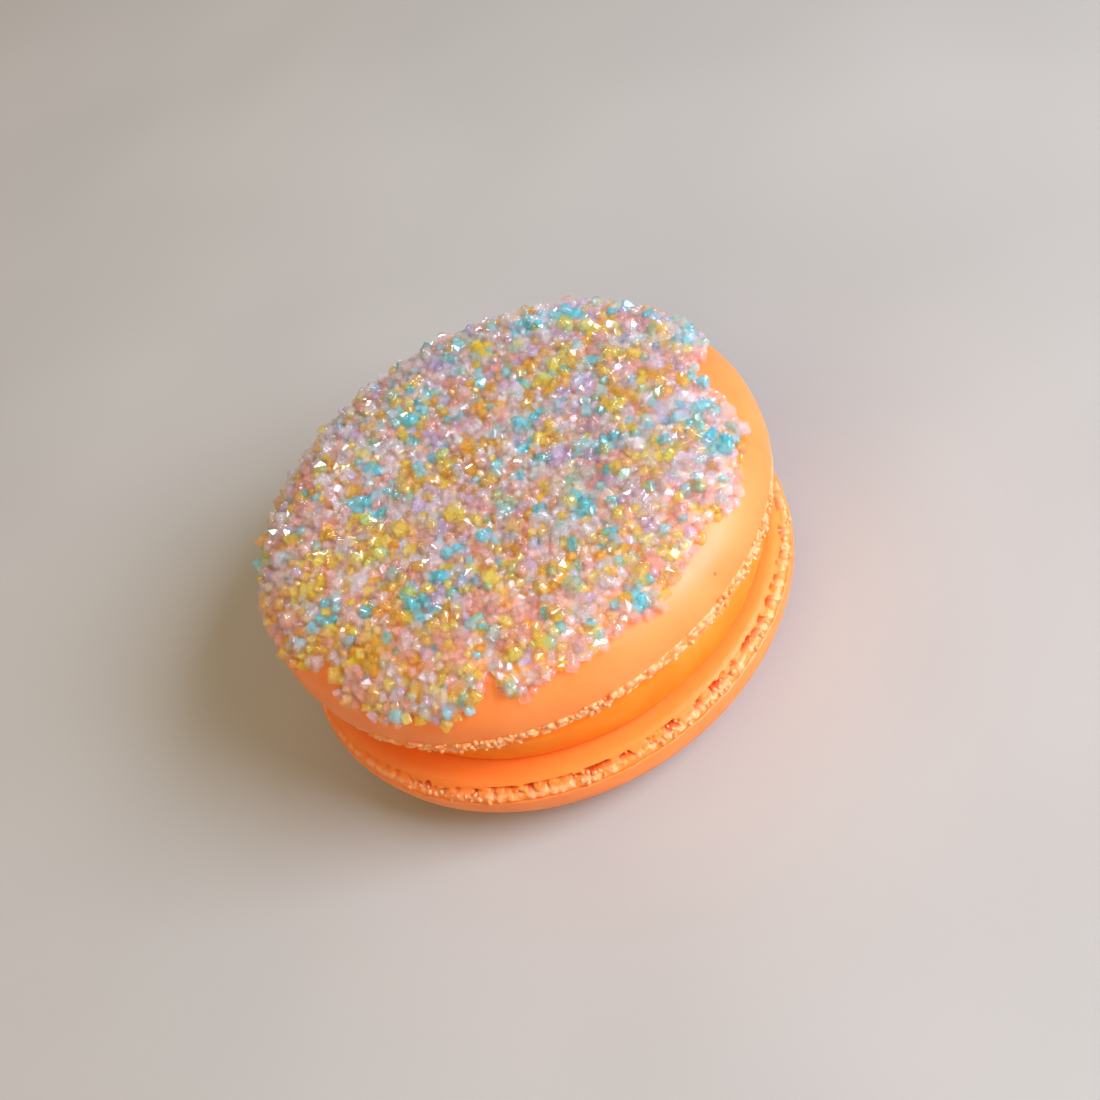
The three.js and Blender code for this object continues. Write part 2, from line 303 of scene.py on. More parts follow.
def named_number(tree, name):
    """The number of that name kept on each point or copy."""
    return add_node(tree, "GeometryNodeInputNamedAttribute", {"Name": name}, data_type="FLOAT").outputs[0]


def random_number(tree, seed, low=0.0, high=1.0):
    """A random number for each point or copy."""
    drawn = add_node(tree, "FunctionNodeRandomValue", {2: low, 3: high, "Seed": seed}, data_type="FLOAT")
    return drawn.outputs[1]


def random_vector(tree, seed, low, high):
    """A random vector for each point or copy."""
    inputs = {"Min": low, "Max": high, "Seed": seed}
    return add_node(tree, "FunctionNodeRandomValue", inputs, data_type="FLOAT_VECTOR").outputs[0]


def band_share(tree, height, low, high, soft):
    """1 between two heights and 0 away from them, with soft ends."""
    passed = []
    for edge in (low, high):
        start, end = maths(tree, "SUBTRACT", edge, soft), maths(tree, "ADD", edge, soft)
        passed.append(ranged(tree, height, start, end, soft=True))
    return maths(tree, "MULTIPLY", passed[0], maths(tree, "SUBTRACT", 1.0, passed[1]))


def lumps(tree, place, size, seed):
    """Rounded lumps of about that size with sharp valleys between them, from 0 to 1."""
    inputs = {"Vector": vector(tree, "ADD", place, seed), "Scale": maths(tree, "DIVIDE", 1.0, size)}
    cells = add_node(tree, "ShaderNodeTexVoronoi", inputs, voronoi_dimensions="3D")
    far = maths(tree, "MULTIPLY", cells.outputs["Distance"], LUMP_STEEPNESS)
    steep = maths(tree, "POWER", far, 2.0)
    return maths(tree, "MAXIMUM", maths(tree, "SUBTRACT", 1.0, steep), 0.0)


def new_tree(name, inputs):
    """A geometry tree with a geometry input and the named inputs, each a socket kind and a value."""
    tree = bpy.data.node_groups.new(name, "GeometryNodeTree")
    tree.interface.new_socket("Geometry", in_out="INPUT", socket_type="NodeSocketGeometry")
    for title, (kind, value) in inputs.items():
        socket = tree.interface.new_socket(title, in_out="INPUT", socket_type="NodeSocket" + kind)
        if value is not None:
            socket.default_value = value
    tree.interface.new_socket("Geometry", in_out="OUTPUT", socket_type="NodeSocketGeometry")
    return tree, tree.nodes.new("NodeGroupInput").outputs


def end_tree(tree, geometry, material):
    """The tree's last nodes: real mesh in place of copies, and its material."""
    real = add_node(tree, "GeometryNodeRealizeInstances", {"Geometry": geometry}).outputs[0]
    painted = add_node(tree, "GeometryNodeSetMaterial", {"Geometry": real, "Material": material}).outputs[0]
    tree.links.new(painted, tree.nodes.new("NodeGroupOutput").inputs[0])


def shaped(name, points, edges, faces, tree, sizes, material, shares=None):
    """A mesh run through a tree with the named sizes set, as a new plain mesh object."""
    mesh = bpy.data.meshes.new(name)
    mesh.from_pydata(points, edges, faces)
    for title, values in (shares or {}).items():
        mesh.attributes.new(title, "FLOAT", "POINT").data.foreach_set("value", values)
    source = bpy.data.objects.new(name + "_source", mesh)
    bpy.context.scene.collection.objects.link(source)
    modifier = source.modifiers.new("shape", "NODES")
    modifier.node_group = tree
    for socket in tree.interface.items_tree:
        if socket.in_out == "INPUT" and socket.name in sizes:
            modifier[socket.identifier] = sizes[socket.name]
        if socket.in_out == "INPUT" and socket.name == "Material":
            modifier[socket.identifier] = material
    evaluated = source.evaluated_get(bpy.context.evaluated_depsgraph_get())
    result = bpy.data.meshes.new_from_object(evaluated)
    result.name = name
    bpy.data.objects.remove(source)
    piece = bpy.data.objects.new(name, result)
    bpy.context.scene.collection.objects.link(piece)
    return piece


def uneven_rim(tree, given, azimuth):
    """How wide the rim is for a round one's 1: slow waves, less one place flattened by a neighbour."""
    wave = 0.0
    for share, turns, shift in RIM_WAVES:
        turned_by = maths(tree, "MULTIPLY", azimuth, turns)
        phase = maths(tree, "MULTIPLY_ADD", given["Rim stream"], shift, turned_by)
        wave = maths(tree, "MULTIPLY_ADD", maths(tree, "SINE", phase), share, wave)
    turned_from = maths(tree, "SUBTRACT", azimuth, given["Flat azimuth"])
    away = maths(tree, "SUBTRACT", 1.0, maths(tree, "COSINE", turned_from))
    narrow = maths(tree, "MULTIPLY", given["Flat width"], given["Flat width"])
    dent = maths(tree, "EXPONENT", maths(tree, "DIVIDE", maths(tree, "MULTIPLY", away, -2.0), narrow))
    rim = maths(tree, "SUBTRACT", maths(tree, "MULTIPLY", wave, given["Rim wave"]),
                maths(tree, "MULTIPLY", dent, given["Flat depth"]))
    return maths(tree, "ADD", 1.0, maths(tree, "DIVIDE", rim, given["Rim radius"]))


def pits(tree, given, place, height):
    """Wide, low holes in a band between two heights, from 0 to 1."""
    stretched = vector(tree, "MULTIPLY", place, (1.0, 1.0, PIT_FLATNESS))
    inputs = {"Vector": stretched, "Scale": maths(tree, "DIVIDE", 1.0, given["Pit size"]), "Detail": 2.0}
    holes = add_node(tree, "ShaderNodeTexNoise", inputs).outputs[0]
    band = band_share(tree, height, given["Pit low"], given["Pit high"], PIT_BAND_SOFTNESS * MM)
    return maths(tree, "MULTIPLY", ranged(tree, holes, *PIT_NOISE, soft=True), band)


def turned_tree():
    """Turns a line of points about the upright axis, with an uneven rim and a ragged band."""
    sizes = {"Segments": ("Int", 64), "Rim radius": ("Float", 25 * MM), "Rim wave": ("Float", 0.0),
             "Rim stream": ("Float", 0.0), "Flat azimuth": ("Float", 0.0), "Flat width": ("Float", 1.0),
             "Flat depth": ("Float", 0.0), "Lump size": ("Float", 1 * MM), "Lump height": ("Float", 0.0),
             "Lump low": ("Float", 0.0), "Lump high": ("Float", 1 * MM), "Lump drawn out": ("Float", 1.0),
             "Pale high": ("Float", 3 * MM), "Pit size": ("Float", 1 * MM), "Pit depth": ("Float", 0.0),
             "Pit low": ("Float", 0.0), "Pit high": ("Float", 1 * MM), "Swell": ("Float", 0.0),
             "Ragged towards": ("Float", 0.0), "Ragged reach": ("Float", 1.0),
             "Calm share": ("Float", 1.0), "Seed": ("Vector", None), "Material": ("Material", None)}
    tree, given = new_tree("turned body", sizes)
    line_places = add_node(tree, "GeometryNodeInputPosition").outputs[0]
    counted = add_node(tree, "GeometryNodeAttributeDomainSize", {"Geometry": given["Geometry"]})
    rows = counted.outputs["Point Count"]
    across = maths(tree, "ADD", given["Segments"], 1.0)
    grid = add_node(tree, "GeometryNodeMeshGrid", {"Vertices X": across, "Vertices Y": rows}).outputs[0]

    index = add_node(tree, "GeometryNodeInputIndex").outputs[0]
    step = maths(tree, "FLOOR", maths(tree, "DIVIDE", maths(tree, "ADD", index, 0.5), rows))
    row = maths(tree, "ROUND", maths(tree, "SUBTRACT", index, maths(tree, "MULTIPLY", step, rows)))
    lookup = {"Geometry": given["Geometry"], "Value": line_places, "Index": row}
    found = add_node(tree, "GeometryNodeSampleIndex", lookup, data_type="FLOAT_VECTOR", domain="POINT")
    line = add_node(tree, "ShaderNodeSeparateXYZ", {0: found.outputs[0]}).outputs
    azimuth = maths(tree, "MULTIPLY", maths(tree, "DIVIDE", step, given["Segments"]), 2 * math.pi)
    radius = maths(tree, "MULTIPLY", line["X"], uneven_rim(tree, given, azimuth))
    outward = triple(tree, maths(tree, "COSINE", azimuth), maths(tree, "SINE", azimuth))
    place = vector(tree, "ADD", scaled(tree, outward, radius), triple(tree, z=line["Z"]))

    turned_from = maths(tree, "SUBTRACT", azimuth, given["Ragged towards"])
    outer = maths(tree, "COSINE", given["Ragged reach"])
    inner = maths(tree, "COSINE", maths(tree, "MULTIPLY", given["Ragged reach"], RAGGED_INSIDE))
    facing = maths(tree, "COSINE", turned_from)
    ragged = ranged(tree, facing, outer, inner, given["Calm share"], 1.0, soft=True)

    flatter = triple(tree, 1.0, 1.0, maths(tree, "DIVIDE", 1.0, given["Lump drawn out"]))
    large = lumps(tree, vector(tree, "MULTIPLY", place, flatter), given["Lump size"], given["Seed"])
    small_size = maths(tree, "MULTIPLY", given["Lump size"], SMALL_LUMPS["size"])
    small = lumps(tree, place, small_size, given["Seed"])
    large_part = maths(tree, "MULTIPLY", large, 1 - SMALL_LUMPS["share"])
    both = maths(tree, "ADD", large_part, maths(tree, "MULTIPLY", small, SMALL_LUMPS["share"]))
    lump_band = band_share(tree, line["Z"], given["Lump low"], given["Lump high"], LUMP_BAND_SOFTNESS * MM)
    lump_band = maths(tree, "MULTIPLY", lump_band, ragged)
    crumb = maths(tree, "MULTIPLY", both, lump_band)
    pale_band = band_share(tree, line["Z"], given["Lump low"], given["Pale high"], PALE_BAND_SOFTNESS * MM)
    pale = maths(tree, "MULTIPLY", both, pale_band)
    seeded = vector(tree, "ADD", place, given["Seed"])
    pit = maths(tree, "MULTIPLY", pits(tree, given, seeded, line["Z"]), ragged)

    slow = {"Vector": seeded, "Scale": 1 / (SWELL_SIZE * MM), "Detail": 1.0}
    swell = maths(tree, "SUBTRACT", add_node(tree, "ShaderNodeTexNoise", slow).outputs[0], 0.5)
    push = maths(tree, "SUBTRACT", maths(tree, "MULTIPLY", crumb, given["Lump height"]),
                 maths(tree, "MULTIPLY", pit, given["Pit depth"]))
    push = maths(tree, "MULTIPLY_ADD", swell, given["Swell"], push)
    most = maths(tree, "MULTIPLY", lump_band, given["Lump height"])
    lift = maths(tree, "MULTIPLY", maths(tree, "SUBTRACT", both, 0.5), most)
    upward = triple(tree, z=maths(tree, "MULTIPLY", lift, 0.5))
    move = vector(tree, "ADD", scaled(tree, outward, push), upward)
    on_side = {0: line["X"], 1: 1 * MM}
    off_axis = add_node(tree, "FunctionNodeCompare", on_side, operation="GREATER_THAN").outputs[0]
    final = vector(tree, "ADD", place, scaled(tree, move, off_axis))

    body = add_node(tree, "GeometryNodeSetPosition", {"Geometry": grid, "Position": final}).outputs[0]
    for name, value in (("pale", pale), ("pit", pit), ("band", lump_band)):
        body = stored(tree, body, name, value)
    touching = {"Geometry": body, "Distance": 0.002 * MM}
    closed = add_node(tree, "GeometryNodeMergeByDistance", touching).outputs[0]
    smooth = add_node(tree, "GeometryNodeSetShadeSmooth", {"Geometry": closed}).outputs[0]
    end_tree(tree, smooth, given["Material"])
    return tree


def face_outwards(piece):
    """Turns the piece's faces so that all of them point out of it."""
    body = bmesh.new()
    body.from_mesh(piece.data)
    bmesh.ops.recalc_face_normals(body, faces=body.faces)
    body.to_mesh(piece.data)
    body.free()


def turned_body(name, line, segments, sizes, material, place):
    """A line of points in millimetres, turned and set in its place."""
    points = [(radius * MM, 0.0, height * MM) for radius, height in line]
    edges = [(index, index + 1) for index in range(len(points) - 1)]
    piece = shaped(name, points, edges, [], turned, {"Segments": segments, **sizes}, material)
    piece.data.transform(place)
    face_outwards(piece)
    return piece


def bumped(tree, height, strength, distance):
    """A surface direction that follows a pattern of heights."""
    inputs = {"Height": height, "Strength": strength, "Distance": distance}
    return add_node(tree, "ShaderNodeBump", inputs).outputs[0]


def kept_number(tree, name):
    """The number of that name that the mesh carries."""
    return add_node(tree, "ShaderNodeAttribute", attribute_name=name).outputs["Fac"]


def meringue_skin(name):
    """Baked skin: apricot orange with a faint mottle, a soft sheen, one pinhole darkened with painted shade,
    and a very fine grain.
    """
    material, tree, shader = empty_material(name)
    tone = colour_ramp(tree, grain(tree, 5 * MM, 4.0), [(0.3, SKIN_COLOURS[0]), (0.7, SKIN_COLOURS[1])])
    place = add_node(tree, "ShaderNodeTexCoord").outputs["Object"]
    clear = ranged(tree, measured(tree, "DISTANCE", place, PINHOLE_PLACE), 0.09 * MM, 0.2 * MM)
    fine = maths(tree, "MULTIPLY_ADD", grain(tree, 0.25 * MM), 0.35, grain(tree, 1.4 * MM))
    height = maths(tree, "MULTIPLY_ADD", clear, 0.6, fine)
    # The pinhole's dark orange is painted shade inside the dent.
    give(tree, shader, {"Base Color": mixed(tree, clear, PAINTED_PIT_SHADE, tone, "RGBA"),
                        "Roughness": ranged(tree, grain(tree, 1.2 * MM), 0.0, 1.0, 0.4, 0.55),
                        "Subsurface Weight": 0.35, "Subsurface Radius": (1.0, 0.4, 0.12),
                        "Subsurface Scale": 1.0 * MM, "Specular IOR Level": 0.45,
                        "Normal": bumped(tree, height, 0.25, 0.06 * MM)})
    return material


def meringue_foot(name):
    """Open crumb under the skin: paler where it stands out, with painted shade in the pits as a deep orange.
    """
    material, tree, shader = empty_material(name)
    tone = colour_ramp(tree, kept_number(tree, "pale"), [(0.05, LIP_COLOUR), (0.5, CRUMB_COLOUR)])
    # The pits are darkened with painted shade, more where they are pushed in deeper.
    sunk = ranged(tree, kept_number(tree, "pit"), 0.15, 0.8)
    fine = maths(tree, "ADD", grain(tree, 0.18 * MM), grain(tree, 0.6 * MM))
    give(tree, shader, {"Base Color": mixed(tree, sunk, tone, PAINTED_PIT_SHADE, "RGBA"), "Roughness": 0.42,
                        "Specular IOR Level": 0.2, "Subsurface Weight": 0.5,
                        "Subsurface Radius": (1.0, 0.45, 0.16), "Subsurface Scale": 0.7 * MM,
                        "Normal": bumped(tree, fine, 0.4, 0.08 * MM)})
    return material


def spread_points(tree, surface, spacing, seed, lift, stray, density=1.0):
    """Points over a surface, no nearer than the spacing to each other, lifted off it by about lift."""
    inputs = {"Mesh": surface, "Distance Min": spacing, "Density Max": POINTS_A_SQUARE_METRE, "Seed": seed,
              "Density Factor": density}
    spread = add_node(tree, "GeometryNodeDistributePointsOnFaces", inputs, distribute_method="POISSON")
    moved = scaled(tree, random_vector(tree, seed, (-1.0,) * 3, (1.0,) * 3), stray)
    both = vector(tree, "ADD", moved, scaled(tree, spread.outputs["Normal"], lift))
    placed = {"Geometry": spread.outputs[0], "Offset": both}
    return add_node(tree, "GeometryNodeSetPosition", placed).outputs[0]


def crumb_tree():
    """Torn crumbs stuck on the foot's ragged band, thick in some stretches and thin in others."""
    sizes = {"Spacing": ("Float", 0.55 * MM), "Size least": ("Float", 0.3 * MM),
             "Size most": ("Float", 0.6 * MM), "Stretch size": ("Float", 6 * MM),
             "Torn": ("Float", 0.09 * MM), "Seed": ("Int", 2), "Material": ("Material", None)}
    tree, given = new_tree("crumbs on the foot", sizes)
    band = named_number(tree, "band")
    place = add_node(tree, "GeometryNodeInputPosition").outputs[0]
    stretches = {"Vector": place, "Scale": maths(tree, "DIVIDE", 1.0, given["Stretch size"]), "Detail": 1.0}
    share = ranged(tree, add_node(tree, "ShaderNodeTexNoise", stretches).outputs[0], *CRUMB_NOISE)
    full = maths(tree, "MULTIPLY", maths(tree, "GREATER_THAN", band, CRUMB_BAND_LEAST), share)
    points = spread_points(tree, given["Geometry"], given["Spacing"], given["Seed"], 0.0, 0.08 * MM, full)
    ball = add_node(tree, "GeometryNodeMeshIcoSphere", {"Radius": 0.5, "Subdivisions": 2}).outputs[0]
    turn = random_vector(tree, 5, (-0.5, -0.5, 0.0), (0.5, 0.5, 2 * math.pi))
    stretch = random_vector(tree, 6, (0.75, 0.75, 1.0), (1.1, 1.1, 1.7))
    size = random_number(tree, 7, given["Size least"], given["Size most"])
    placed = {"Points": points, "Instance": ball, "Rotation": turn, "Scale": scaled(tree, stretch, size)}
    crumbs = add_node(tree, "GeometryNodeInstanceOnPoints", placed).outputs[0]
    real = add_node(tree, "GeometryNodeRealizeInstances", {"Geometry": crumbs}).outputs[0]
    tearing = {"Vector": place, "Scale": 1 / (0.45 * MM), "Detail": 1.0}
    rough = add_node(tree, "ShaderNodeTexNoise", tearing).outputs[1]
    centred = vector(tree, "SUBTRACT", rough, (0.5,) * 3)
    torn = scaled(tree, centred, maths(tree, "MULTIPLY", given["Torn"], 4.0))
    uneven = add_node(tree, "GeometryNodeSetPosition", {"Geometry": real, "Offset": torn}).outputs[0]
    smooth = add_node(tree, "GeometryNodeSetShadeSmooth", {"Geometry": uneven}).outputs[0]
    end_tree(tree, smooth, given["Material"])
    return tree


def crumbs_on(foot, name, material, seed):
    """Crumbs scattered over a finished foot, as a piece of their own."""
    source = foot.data
    points = [vertex.co.copy() for vertex in source.vertices]
    faces = [tuple(face.vertices) for face in source.polygons]
    band = np.empty(len(points), np.float32)
    source.attributes["band"].data.foreach_get("value", band)
    return shaped(name, points, [], faces, crumb_shape, {"Seed": seed}, material, {"band": band})


def torn_crumb():
    """Crumb torn open in the oven: pale, a little glassy, and light shows through it."""
    material, tree, shader = empty_material("torn crumb")
    tone = colour_ramp(tree, grain(tree, 1.1 * MM), [(0.3, LIP_COLOUR), (0.62, CRUMB_COLOUR)])
    give(tree, shader, {"Base Color": tone, "Roughness": 0.3, "Subsurface Weight": 0.7,
                        "Subsurface Radius": (1.0, 0.5, 0.25), "Subsurface Scale": 0.5 * MM,
                        "Normal": bumped(tree, grain(tree, 0.12 * MM), 0.5, 0.06 * MM)})
    return material


turned = turned_tree()
crumb_shape = crumb_tree()
crumb_finish = torn_crumb()
skin_finish = meringue_skin("baked meringue skin")
foot_finish = meringue_foot("baked meringue foot")
SKIN_RELIEF = {"Lump size": 0.9 * MM, "Lump height": 0.16 * MM, "Swell": 0.12 * MM}
FOOT_RELIEF = {"Lump size": 0.75 * MM, "Lump height": 0.4 * MM, "Lump low": 0.95 * MM, "Pit size": 1.3 * MM,
               "Pit depth": 1.0 * MM, "Pit low": 0.62 * MM, "Pit high": 1.08 * MM, "Swell": 0.18 * MM}
lower_rim = {"Rim radius": LOWER["radius"] * MM, "Rim wave": RIM_WAVE * MM, "Rim stream": 10.0}
crown_down = Matrix.Translation((0, 0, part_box("lower_shell")[1].z)) @ Matrix.Rotation(math.pi, 4, "X")

lower_sizes = {**lower_rim, **SKIN_RELIEF, "Lump low": 1.5 * MM, "Lump high": 2.0 * MM,
               "Seed": (3.1 * MM, 0.0, 7.0 * MM)}
lower_skin = turned_body("lower_skin", skin_line(LOWER), SKIN_SEGMENTS, lower_sizes, skin_finish, crown_down)
lower_sizes = {**lower_rim, **FOOT_RELIEF, "Lump height": 0.32 * MM, "Lump high": 1.6 * MM,
               "Lump drawn out": 2.2, "Pale high": 1.35 * MM,
               "Ragged towards": math.radians(78), "Ragged reach": math.radians(80), "Calm share": 0.25,
               "Seed": (1.7 * MM, 4.0 * MM, 2.0 * MM)}
lower_foot = turned_body("lower_foot", foot_line(LOWER), FOOT_SEGMENTS, lower_sizes, foot_finish, crown_down)
lower_crumbs = crumbs_on(lower_foot, "lower_crumbs", crumb_finish, 11)
for piece in (lower_skin, lower_foot, lower_crumbs):
    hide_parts("lower_shell")
    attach(piece, "root")

# The filling: soft orange buttercream, piped on the lower shell and squeezed by the upper one, so
# that it bulges out at the front and runs up against the upper shell's lip.
FILLING_FOOTPRINT = {"x": 0.77, "y": -1.05, "radius": 21.1}
FILLING_TOP = {"x": 0.54, "y": 0.91, "bulge_radius": 24.45, "back_radius": 21.3}
FILLING_BULGE_AT = math.radians(-55)
FILLING_BULGE_FADE = (-0.25, 0.7)
FILLING_WAVE = {"height": 0.24, "around": 2.2, "up": 1.3, "start": 5}
FILLING_CREASE = {"depth": 0.7, "share": 0.14}
FILLING_UNDER_LIP = {"depth": 0.45, "share": 0.14}
FILLING_FLAT_SHARE = 0.6
FILLING_RINGS = 30
FILLING_SEGMENTS = 360
UPPER_PLACE = {"x": 0.54, "y": 0.91, "z": 11.82}
UPPER_TILT_FRONT = math.radians(-3.7)
UPPER_TILT_SIDE = math.radians(-1.6)
FILLING_COLOURS = [srgb(252, 130, 24), srgb(255, 140, 34)]


def inner_face_height(x, y):
    """Height of the upper shell's tilted inner face over a place, in millimetres."""
    sideways = (x - UPPER_PLACE["x"]) * math.tan(-UPPER_TILT_SIDE)
    forwards = (y - UPPER_PLACE["y"]) * math.tan(UPPER_TILT_FRONT)
    return UPPER_PLACE["z"] + sideways + forwards


def smoothstep(value, low, high):
    """0 up to low and 1 from high, with a smooth rise between them."""
    share = np.clip((value - low) / (high - low), 0, 1)
    return share * share * (3 - 2 * share)


def filling_tuck(level):
    """How far the side is drawn in, at the soft crease with the lower shell and under the lip."""
    low = max(0.0, 1 - level / FILLING_CREASE["share"])
    high = max(0.0, 1 - (1 - level) / FILLING_UNDER_LIP["share"])
    return FILLING_CREASE["depth"] * low**2 + FILLING_UNDER_LIP["depth"] * high**2


def filling_place(level, azimuth, share):
    """A point of the filling's side, or of its top or bottom where share is under 1."""
    ease = math.sin(level * math.pi / 2)
    facing = float(smoothstep(math.cos(azimuth - FILLING_BULGE_AT), *FILLING_BULGE_FADE))
    top = FILLING_TOP["back_radius"] + (FILLING_TOP["bulge_radius"] - FILLING_TOP["back_radius"]) * facing
    around, up = FILLING_WAVE["around"], FILLING_WAVE["up"] * level + FILLING_WAVE["start"]
    ripple = noise.noise((around * math.cos(azimuth), around * math.sin(azimuth), up))
    base = FILLING_FOOTPRINT["radius"]
    side = base + (top - base) * ease - filling_tuck(level) + FILLING_WAVE["height"] * ripple
    middle = [FILLING_FOOTPRINT[axis] + (FILLING_TOP[axis] - FILLING_FOOTPRINT[axis]) * ease for axis in "xy"]
    x = middle[0] + share * side * math.cos(azimuth)
    y = middle[1] + share * side * math.sin(azimuth)
    return Vector((x, y, filling_base + (inner_face_height(x, y) - filling_base) * level)) * MM


def ring_body(name, rings, segments, material):
    """A closed skin through rings of points, the first and last closed by a middle point."""
    points = [point for ring in rings for point in ring]
    faces = []
    for ring in range(len(rings) - 1):
        for step in range(segments):
            here, there = ring * segments + step, ring * segments + (step + 1) % segments
            faces.append((here, there, there + segments, here + segments))
    for ring, ends in ((0, 1), (len(rings) - 1, -1)):
        middle = sum(rings[ring], Vector()) / segments
        points.append(middle)
        for step in range(segments):
            corners = (ring * segments + step, ring * segments + (step + 1) % segments, len(points) - 1)
            faces.append(corners[::ends])
    mesh = bpy.data.meshes.new(name)
    mesh.from_pydata(points, [], faces)
    mesh.materials.append(material)
    mesh.shade_smooth()
    piece = bpy.data.objects.new(name, mesh)
    bpy.context.scene.collection.objects.link(piece)
    face_outwards(piece)
    return piece


def buttercream():
    """Soft fat cream: strong orange, smooth, with a faint satin sheen and slow ripples."""
    material, tree, shader = empty_material("orange buttercream")
    stops = [(0.3, FILLING_COLOURS[0]), (0.7, FILLING_COLOURS[1])]
    fine = maths(tree, "MULTIPLY_ADD", grain(tree, 0.3 * MM), 0.3, grain(tree, 2.0 * MM))
    give(tree, shader, {"Base Color": colour_ramp(tree, grain(tree, 4 * MM, 3.0), stops), "Roughness": 0.42,
                        "Specular IOR Level": 0.2, "Subsurface Weight": 0.5,
                        "Subsurface Radius": (1.0, 0.35, 0.08), "Subsurface Scale": 1.0 * MM,
                        "Normal": bumped(tree, fine, 0.3, 0.08 * MM)})
    return material


filling_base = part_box("filling")[0].z / MM
azimuths = [step / FILLING_SEGMENTS * 2 * math.pi for step in range(FILLING_SEGMENTS)]
filling_rings = [[filling_place(0.0, azimuth, FILLING_FLAT_SHARE) for azimuth in azimuths]]
for ring in range(FILLING_RINGS + 1):
    filling_rings.append([filling_place(ring / FILLING_RINGS, azimuth, 1.0) for azimuth in azimuths])
filling_rings.append([filling_place(1.0, azimuth, FILLING_FLAT_SHARE) for azimuth in azimuths])
filling_cream = ring_body("filling_cream", filling_rings, FILLING_SEGMENTS, buttercream())
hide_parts("filling")
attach(filling_cream, "root")

# The upper shell: the same baked meringue, crown up and a little larger, pressed down on the filling
# with a slight tilt. Its rim is flattened where it touched its neighbour on the baking sheet.
UPPER = {"radius": 25.5, "height": 9.75, "widest_at": 2.8, "flat_radius": 12.1, "roundness": 2.56,
         "skin_edge": 2.3}
UPPER_FLAT = {"Flat azimuth": math.radians(-155), "Flat width": math.radians(24), "Flat depth": 0.5 * MM}
upper_turn = Matrix.Rotation(UPPER_TILT_SIDE, 4, "Y") @ Matrix.Rotation(UPPER_TILT_FRONT, 4, "X")
on_filling = Matrix.Translation(Vector(UPPER_PLACE.values()) * MM) @ upper_turn

upper_rim = {"Rim radius": UPPER["radius"] * MM, "Rim wave": RIM_WAVE * MM, "Rim stream": 20.0, **UPPER_FLAT}
upper_sizes = {**upper_rim, **SKIN_RELIEF, "Lump low": 2.0 * MM, "Lump high": 2.5 * MM,
               "Seed": (5.2 * MM, 1.0 * MM, 0.0)}
upper_skin = turned_body("upper_skin", skin_line(UPPER), SKIN_SEGMENTS, upper_sizes, skin_finish, on_filling)
upper_sizes = {**upper_rim, **FOOT_RELIEF, "Lump height": 0.5 * MM, "Lump high": 2.35 * MM,
               "Lump drawn out": 1.3, "Pit depth": 0.5 * MM,
               "Ragged towards": math.radians(-90), "Ragged reach": math.radians(70), "Calm share": 0.2,
               "Seed": (0.0, 9.4 * MM, 3.0 * MM)}
upper_foot = turned_body("upper_foot", foot_line(UPPER), FOOT_SEGMENTS, upper_sizes, foot_finish, on_filling)
upper_crumbs = crumbs_on(upper_foot, "upper_crumbs", crumb_finish, 12)
for piece in (upper_skin, upper_foot, upper_crumbs):
    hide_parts("upper_shell")
    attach(piece, "root")

# The sugar: coarse tinted sanding sugar, poured on the crown while its glaze was wet. The grains that
# sank in the glaze make a bumpy bed, and the others lie on it two or three deep.
SLOPE_STEP = 0.2
SUGAR_REACH = 25.2
SUGAR_EDGE_WAVE = {"height": 0.25, "count": 23}
SUGAR_BAYS = [(-8, 13, 3.3), (-57, 8, 0.9), (-110, 2.4, 2.4), (-129, 23, -1.4), (-153, 4, 3.0), (74, 12, 2.0)]
BED_SEGMENTS = 420
BED_ROWS = 84
BED_LIFT = 0.16
BED_INSET = 0.55
BED_GRAIN = {"size": 0.85, "height": 0.3, "steepness": 1.5}
BED_EDGE = {"further": 0.15, "lift": -0.3}
BED_UNDERSIDE = {"share": 0.5, "lift": -0.8}
PALE_MIDDLE = {"place": (5 * MM, 5 * MM, 22 * MM), "full": 14, "end": 29}
SUNK_GRAIN_SIZE = 1.15
SUNK_GRAIN_SHARE = 0.4
POOL_SIZE = 3.5
POOL_STOPS = [(0.36, srgb(196, 198, 180)), (0.44, srgb(226, 166, 150)), (0.54, srgb(232, 176, 170)),
              (0.62, srgb(238, 184, 98))]
GLAZE_COLOUR = srgb(250, 170, 98)
BLOCK_SHAPES = 5
WORN_SHAPES = (1, 3)
BLOCK_SIDES = [(0.85, 0.7, 0.6), (1.25, 1.0, 0.95)]
LAYER_LIFTS = (0.55, 1.7, 2.0)
TOP_LAYER_SPACING = 1.12
CRYSTAL_STRAY = 0.12
TINTS = {
    "clear": {"share": 0.31, "deep": srgb(236, 230, 236), "pale": srgb(250, 246, 252), "alpha": 0.38},
    "pink": {"share": 0.25, "deep": srgb(246, 184, 174), "pale": srgb(250, 212, 202), "alpha": 0.4},
    "orange": {"share": 0.12, "deep": srgb(250, 190, 50), "pale": srgb(252, 216, 120), "alpha": 0.5},
    "yellow": {"share": 0.10, "deep": srgb(250, 226, 74), "pale": srgb(252, 240, 132), "alpha": 0.5},
    "turquoise": {"share": 0.08, "deep": srgb(80, 228, 250), "pale": srgb(160, 240, 252), "alpha": 0.55},
    "lilac": {"share": 0.09, "deep": srgb(214, 200, 242), "pale": srgb(234, 222, 252), "alpha": 0.4},
    "mint": {"share": 0.05, "deep": srgb(160, 230, 214), "pale": srgb(200, 238, 224), "alpha": 0.42},
}

crown = np.array(crown_line(UPPER, 200)[::-1])
crown_steps = np.hypot(*np.diff(crown, axis=0).T)
crown_length = np.concatenate([[0], np.cumsum(crown_steps)])


